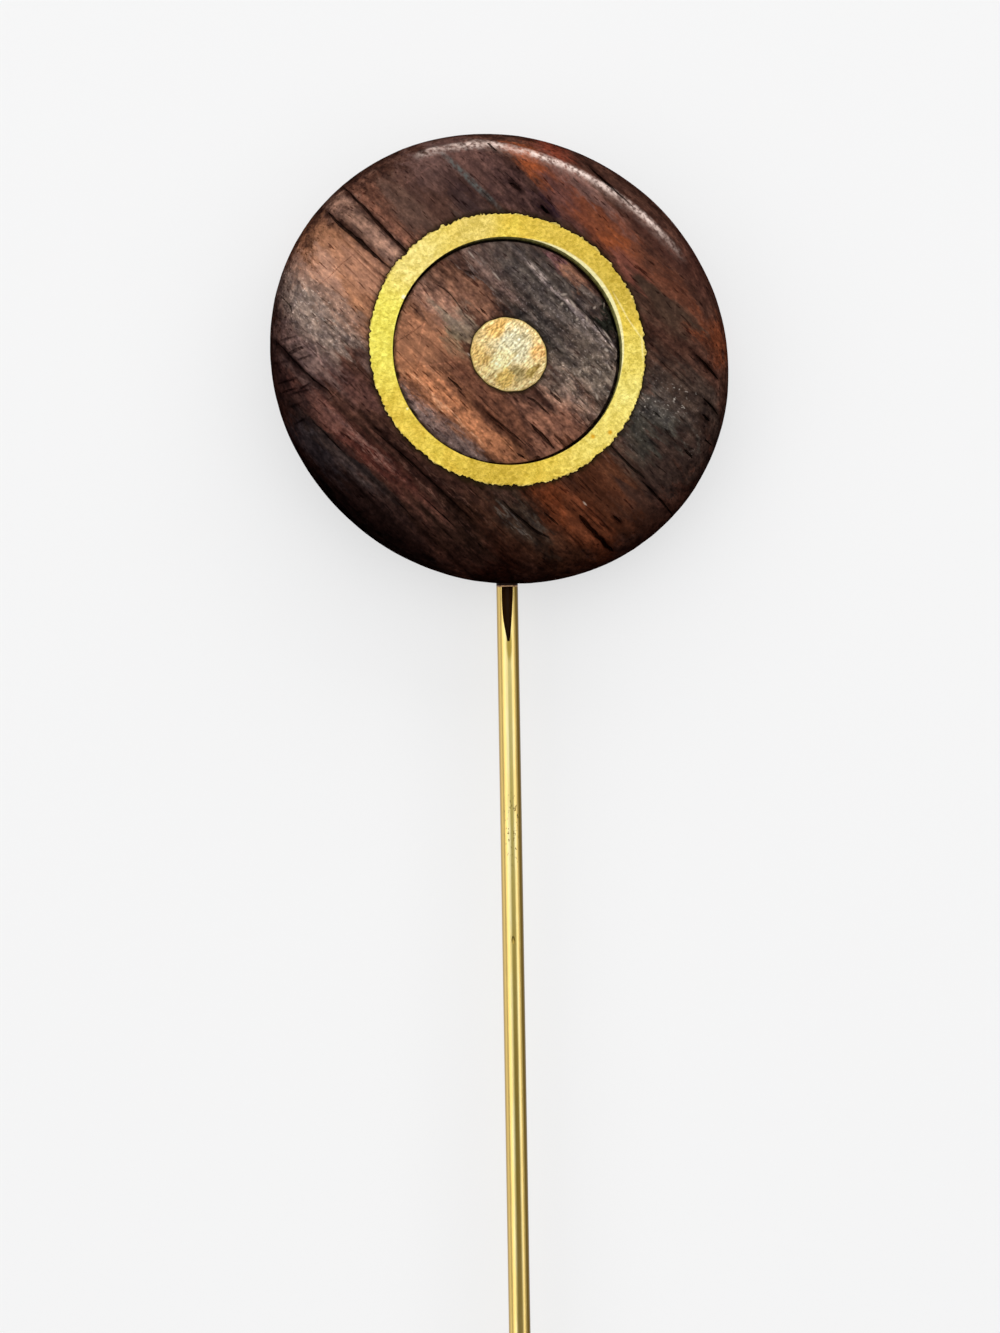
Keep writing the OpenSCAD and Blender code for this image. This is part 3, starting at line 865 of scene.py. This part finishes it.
metal, ring_shader = start_material(ring, "filed brass")
grain = axes(metal, grain_turn, chart_middle)
cloudy = streak(metal, grain, (1.8, 1.8, 1), 4, 0.32, 0.68)
granules = streak(metal, grain, (8, 9, 1), 5, 0.32, 0.68)
blotches = streak(metal, grain, (3.6, 3.6, 1), 3, 0.3, 0.7)
colour = blend(metal, cloudy, (0.84, 0.6, 0.08), (0.94, 0.73, 0.115))
for *spot, paint in (
        (-2.1, 3.8, 2.2, 1.9, (0.98, 0.88, 0.15)),
        (0.6, 4.7, 1.4, 0.8, (0.98, 0.82, 0.25)),
        (1.4, -4.6, 2.4, 0.7, (0.98, 0.82, 0.2)),
        (2.8, -4, 1, 0.7, (0.98, 0.86, 0.24)),
        (2.8, 4, 1, 0.7, (0.86, 0.68, 0.17)),
        (3.6, -3.6, 1, 0.8, (0.92, 0.76, 0.16)),
        (5, -1.2, 0.5, 2.4, (0.72, 0.53, 0.08)),
        (4.9, 1.6, 0.7, 1.6, (0.78, 0.57, 0.085)),
        (-3.2, -2.9, 1, 1.3, (0.76, 0.55, 0.075))):
    colour = blend(metal, oval(metal, grain, *spot), colour, paint)
for mask, dark, light in ((granules, (0.78, 0.75, 0.62), (1.08, 1.08, 1.16)),
                          (blotches, (0.86, 0.83, 0.7), (1.07, 1.07, 1.18))):
    colour = mottle(metal, colour, mask, dark, light)
spots = streak(metal, grain, (4.3, 4.3, 1), 4, 0.66, 0.76)
colour = blend(metal, spots, colour, (0.42, 0.3, 0.03))
# Two orange spots, then two painted glints on the inner edge: middle across and along, size, colour.
for across, along, size, paint in (
        (0.9, -4.8, 0.08, (0.75, 0.4, 0.03)), (0.35, -4.45, 0.08, (0.75, 0.4, 0.03)),
        (-0.8, 4.12, 0.07, (1, 0.95, 0.6)), (-3.66, 1.16, 0.04, (1, 0.92, 0.5))):
    colour = blend(metal, oval(metal, grain, across, along, size, size), colour, paint)

# The slope is painted pale as a highlight, and below it the wall has gone olive. Two thin scratches
# run near it, and a thin painted highlight lies on the outer edge at the lower right.
slope_middle = (slope_place - ring_place) / mm
slope_reach = slope_r / mm * 0.998
slope_highlight = oval(metal, axes(metal, 0, ring_place), *slope_middle.xy, slope_reach, slope_reach, 0.007)
colour = blend(metal, broken(metal, slope_highlight, granules, 0.3, 0.7), colour, (1, 0.93, 0.52))
for line in ((4.5, -1.9, 73, 0.55), (4.27, -2.8, 79, 0.45), (3.93, -3.52, 47, 0.42)):
    colour = blend(metal, times(metal, scratch(metal, *line, 0.03), 0.4), colour, (1, 0.92, 0.5))
height = put(metal, "SeparateXYZ", {0: axes(metal, 0, ring_high)}).outputs["Z"]
deep = rise(metal, height, -0.035, -0.06)
colour = blend(metal, deep, colour, blend(metal, granules, (0.24, 0.23, 0.05), (0.56, 0.52, 0.17)))

# The ring's outline is mottled: dark in some places, partly tarnish and partly painted shade of the gap
# beside it, and bright in others as painted glints on its teeth.
within_edge = oval(metal, axes(metal, disc_turn, ring_place), 0, 0,
                   ring_long / mm * 0.992, ring_short / mm * 0.992, 0.008)
colour = blend(metal, within_edge, blend(metal, granules, (0.2, 0.13, 0.02), (0.9, 0.7, 0.2)), colour)
feed(metal, ring_shader, {
    "Base Color": colour, "Normal": bump(metal, granules, 0.006 * mm),
    "Metallic": work(metal, "SUBTRACT", 1, deep), "Roughness": 0.38})
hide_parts("ring_inlay")
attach(ring, "root")


# Brass dot
# A slice of brass rod let into the middle of the disc and filed flat with it, in strokes across the
# grain. The file left its outline a little angular.
dot_low, dot_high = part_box("centre_dot")
dot_place = (dot_low + dot_high) / 2
# Half the dot's length and half its width.
dot_long = 1.45 * mm
dot_short = 1.33 * mm
dot_sides = 13
# The corners are rounded off, so they are drawn this much further out.
corner_reach = 1.02
corner_round = 0.16 * mm


def dot_body(grow, low, high):
    """The dot's shape, grown a little."""
    bpy.ops.mesh.primitive_circle_add(vertices=dot_sides, radius=dot_long * corner_reach + grow,
                                      fill_type="NGON", location=(dot_place.x, dot_place.y, high))
    body = settle((1, dot_short / dot_long, 1), disc_turn)
    edit()
    bpy.ops.mesh.bevel(offset=corner_round, segments=5, affect="VERTICES")
    draw_out(low - high)
    return body


cut(disc, dot_body(inlay_room, groove_floor, tool_top))
dot = dot_body(0, dot_low.z, dot_high.z)
dot.name = "brass_dot"
round_over(dot, 1, 0.03 * mm, 3)
bpy.ops.object.shade_smooth_by_angle(angle=math.radians(40))

metal, dot_shader = start_material(dot, "stroked brass")
grain = axes(metal, grain_turn, chart_middle)
uneven = warp(metal, grain, (2.4, 2.4, 1), (0.8, 0.8, 0), 3)
colour = (0.9, 0.72, 0.4)
for *spot, paint in (
        (0.75, 0, 0.7, 0.7, (0.82, 0.8, 0.62)),
        (0, -0.1, 0.5, 0.4, (0.98, 0.88, 0.54)),
        (0.85, 0.85, 0.5, 0.3, (0.88, 0.58, 0.22)),
        (-0.45, 0.6, 0.35, 0.5, (0.86, 0.62, 0.26)),
        (-0.3, -0.65, 0.4, 0.3, (0.8, 0.58, 0.2)),
        (0.1, -0.85, 0.16, 0.3, (0.42, 0.34, 0.16)),
        (0.55, -1.2, 0.35, 0.15, (0.5, 0.38, 0.13)),
        (1.25, -0.85, 0.35, 0.3, (0.9, 0.56, 0.24))):
    colour = blend(metal, oval(metal, uneven, *spot, 0.5), colour, paint)
strokes = streak(metal, grain, (8, 25, 1), 2, 0.3, 0.66)
wide = streak(metal, grain, (1.2, 7, 1), 2, 0.3, 0.7)
blotches = streak(metal, grain, (8, 12, 1), 3, 0.3, 0.7)
for mask, dark, light in ((strokes, (0.52, 0.45, 0.34), (1.38, 1.38, 1.36)),
                          (wide, (0.8, 0.74, 0.62), (1.14, 1.14, 1.14)),
                          (blotches, (0.74, 0.7, 0.6), (1.15, 1.15, 1.15))):
    colour = mottle(metal, colour, mask, dark, light)
within_edge = oval(metal, axes(metal, disc_turn, dot_place), 0, 0,
                   dot_long / mm * 0.97, dot_short / mm * 0.97, 0.04)
colour = blend(metal, within_edge, (0.45, 0.33, 0.1), colour)
feed(metal, dot_shader, {
    "Base Color": colour, "Normal": bump(metal, strokes, 0.008 * mm), "Metallic": 1, "Roughness": 0.4})
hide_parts("centre_dot")
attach(dot, "root")


# Stem
# Sheet brass rolled round until its edges meet in a seam, which faces up. Near the disc they stand
# apart in a long V. Below, the stem is drawn to a point, and its upper end is pushed into the hole in
# the disc's edge.
stem_low, stem_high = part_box("pin_stem")
stem_x = (stem_low.x + stem_high.x) / 2
stem_z = disc_high.z / 2
stem_r = 0.4 * mm
disc_edge = -math.hypot(disc_long / 2 * math.sin(disc_turn), disc_short / 2 * math.cos(disc_turn))
stem_end = disc_edge + 0.3 * mm
notch_top = disc_edge - 0.1 * mm
notch_length = 2 * mm
point_length = 7 * mm
point_start = stem_low.y + point_length
bore_r = 0.26 * mm
bore_more = 0.4 * mm
peg_r = 0.2 * mm
peg_bevel = 0.02 * mm
hole_room = 0.03 * mm


def turn_rod(rings):
    """A closed round bar along the stem's axis, through rings of a place along it and a radius."""
    place, radius = rings[0]
    bpy.ops.mesh.primitive_circle_add(vertices=96, radius=radius, fill_type="NGON",
                                      location=(stem_x, place, stem_z), rotation=(math.pi / 2, 0, 0))
    rod = settle()
    edit()
    for (last_place, last_radius), (place, radius) in zip(rings, rings[1:]):
        bpy.ops.mesh.extrude_region_move(TRANSFORM_OT_translate={"value": (0, place - last_place, 0)})
        bpy.ops.transform.resize(value=(radius / last_radius,) * 3, center_override=(stem_x, place, stem_z))
    face_out()
    return rod


# The outside, from the hidden peg down to the point.
lengths = 60
point_lengths = 12
rings = [(stem_high.y, peg_r - peg_bevel), (stem_high.y - peg_bevel, peg_r), (stem_end, peg_r)]
rings += [(stem_end + (point_start - stem_end) * step / lengths, stem_r) for step in range(lengths + 1)]
for step in range(1, point_lengths + 1):
    share = step / point_lengths
    rings.append((point_start - point_length * share, stem_r * (1 - share ** 1.3 * 0.9)))
stem = turn_rod(rings)
stem.name = "rolled_stem"
cut(stem, turn_rod([(notch_top, bore_r), (notch_top - notch_length - bore_more, bore_r)]))

# The V between the sheet's edges: its width at steps of an eighth of its length, and how far its
# middle strays to the right.
notch_steps = ((0.42, 0.005), (0.415, 0), (0.4, -0.005), (0.375, -0.01), (0.345, -0.01), (0.3, -0.01),
               (0.24, 0), (0.17, 0.01), (0.09, 0.015))
notch_start = 0.02 * mm
bpy.ops.mesh.primitive_plane_add(
    size=1, location=(stem_x + notch_steps[0][1] * mm, notch_top - notch_start / 2, stem_z))
notch = settle((notch_steps[0][0] * mm, notch_start, 1))
edit()
step = notch_length / (len(notch_steps) - 1)
level = notch_top - notch_start
for (last_width, last_stray), (width, stray) in zip(notch_steps, notch_steps[1:]):
    pick(notch, "EDGE", lambda edge: all(vert.co.y < level + 0.005 * mm for vert in edge.verts))
    level -= step
    bpy.ops.mesh.extrude_region_move(TRANSFORM_OT_translate={"value": ((stray - last_stray) * mm, -step, 0)})
    bpy.ops.transform.resize(
        value=(width / last_width, 1, 1), center_override=(stem_x + stray * mm, level, stem_z))
draw_out(2 * stem_r)
cut(stem, notch)

# The seam below it, and a small pit further down.
seam_top = notch_top - notch_length / 2
bpy.ops.mesh.primitive_cube_add(size=1, location=(stem_x, (seam_top + point_start) / 2, stem_z + stem_r))
cut(stem, settle((0.035 * mm, seam_top - point_start, 0.06 * mm)))
pit_place = -21.5 * mm
bpy.ops.mesh.primitive_ico_sphere_add(
    subdivisions=3, radius=1, location=(stem_x, pit_place, stem_z + stem_r))
cut(stem, settle((0.06 * mm, 0.15 * mm, 0.08 * mm)))
only(stem)
bpy.ops.object.shade_smooth_by_angle(angle=math.radians(35))

# The hole in the disc's edge, with a little room round the peg and the stem.
cut(disc, turn_rod([
    (stem_high.y + hole_room, peg_r + hole_room), (stem_end + hole_room, peg_r + hole_room),
    (stem_end + hole_room, stem_r + hole_room), (disc_edge - 1 * mm, stem_r + hole_room)]))
only(disc)
bpy.ops.object.shade_smooth_by_angle(angle=math.radians(35))

metal, stem_shader = start_material(stem, "polished brass")
place = axes(metal, 0, (stem_x, 0, stem_z))
worn = streak(metal, place, (2.5, 0.3, 2.5), 3, 0.35, 0.65)
colour = blend(metal, worn, (0.95, 0.84, 0.44), (0.93, 0.74, 0.28))

# Painted shade darkens the stem in steps from the middle to its sides, the right more than the left,
# for the dark surroundings they mirror; then tarnish darkens stretches of the seam, most of all near the
# point.
whole_length = 1000
for middle, half_width, softness, paint in (
        (0.02, 0.16, 0.3, (0.95, 0.68, 0.22)), (-0.015, 0.315, 0.12, (0.54, 0.37, 0.12)),
        (-0.06, 0.335, 0.1, (0.16, 0.095, 0.006))):
    front = oval(metal, place, middle, 0, half_width, whole_length, softness)
    colour = blend(metal, front, paint, colour)
for middle, half_length, half_width, paint in ((-14, 4.8, 0.07, (0.5, 0.43, 0.16)),
                                               (-10.55, 0.6, 0.1, (0.36, 0.25, 0.03)),
                                               (-24, 10, 0.09, (0.5, 0.4, 0.1)),
                                               (-42, 22, 0.12, (0.2, 0.12, 0.01))):
    mask = oval(metal, place, 0.04, middle, half_width, half_length, 0.35)
    colour = blend(metal, times(metal, mask, 0.8), colour, paint)
specks = streak(metal, place, (9, 6, 9), 2, 0.6, 0.66)
speckled = work(metal, "MAXIMUM", oval(metal, place, 0.05, -17.4, 0.3, 1.3, 0.4),
                oval(metal, place, 0.05, -10.5, 0.06, 0.4, 0.3))
colour = blend(metal, times(metal, specks, speckled), colour, (0.25, 0.17, 0.04))

# Painted shade darkens the inside of the tube, and the end of the stem where it meets the disc. The cut
# edge at the top of the V is pinkish.
upper = put(metal, "SeparateXYZ", {0: place}).outputs["Y"]
shaded_hollow = rise(metal, distance(metal, place, (1, 0, 1)), 0.31, 0.28)
shaded_hollow = times(metal, shaded_hollow, work(metal, "GREATER_THAN", upper, disc_edge / mm - 4))
junction_shade = rise(metal, upper, disc_edge / mm - 0.075, disc_edge / mm - 0.05)
lip = rise(metal, upper, notch_top / mm - 0.03, notch_top / mm)
colour = blend(metal, lip, colour, tint(165, 130, 98))
colour = blend(metal, shaded_hollow, colour, (0.06, 0.024, 0.006))
colour = blend(metal, junction_shade, colour, (0.012, 0.004, 0.002))
painted_dark = work(metal, "MAXIMUM", shaded_hollow, junction_shade)
feed(metal, stem_shader, {
    "Base Color": colour, "Normal": bump(metal, worn, 0.002 * mm),
    "Metallic": work(metal, "SUBTRACT", 1, painted_dark), "Roughness": 0.3, "Specular IOR Level": 0.05})
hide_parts("pin_stem")
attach(stem, "root")
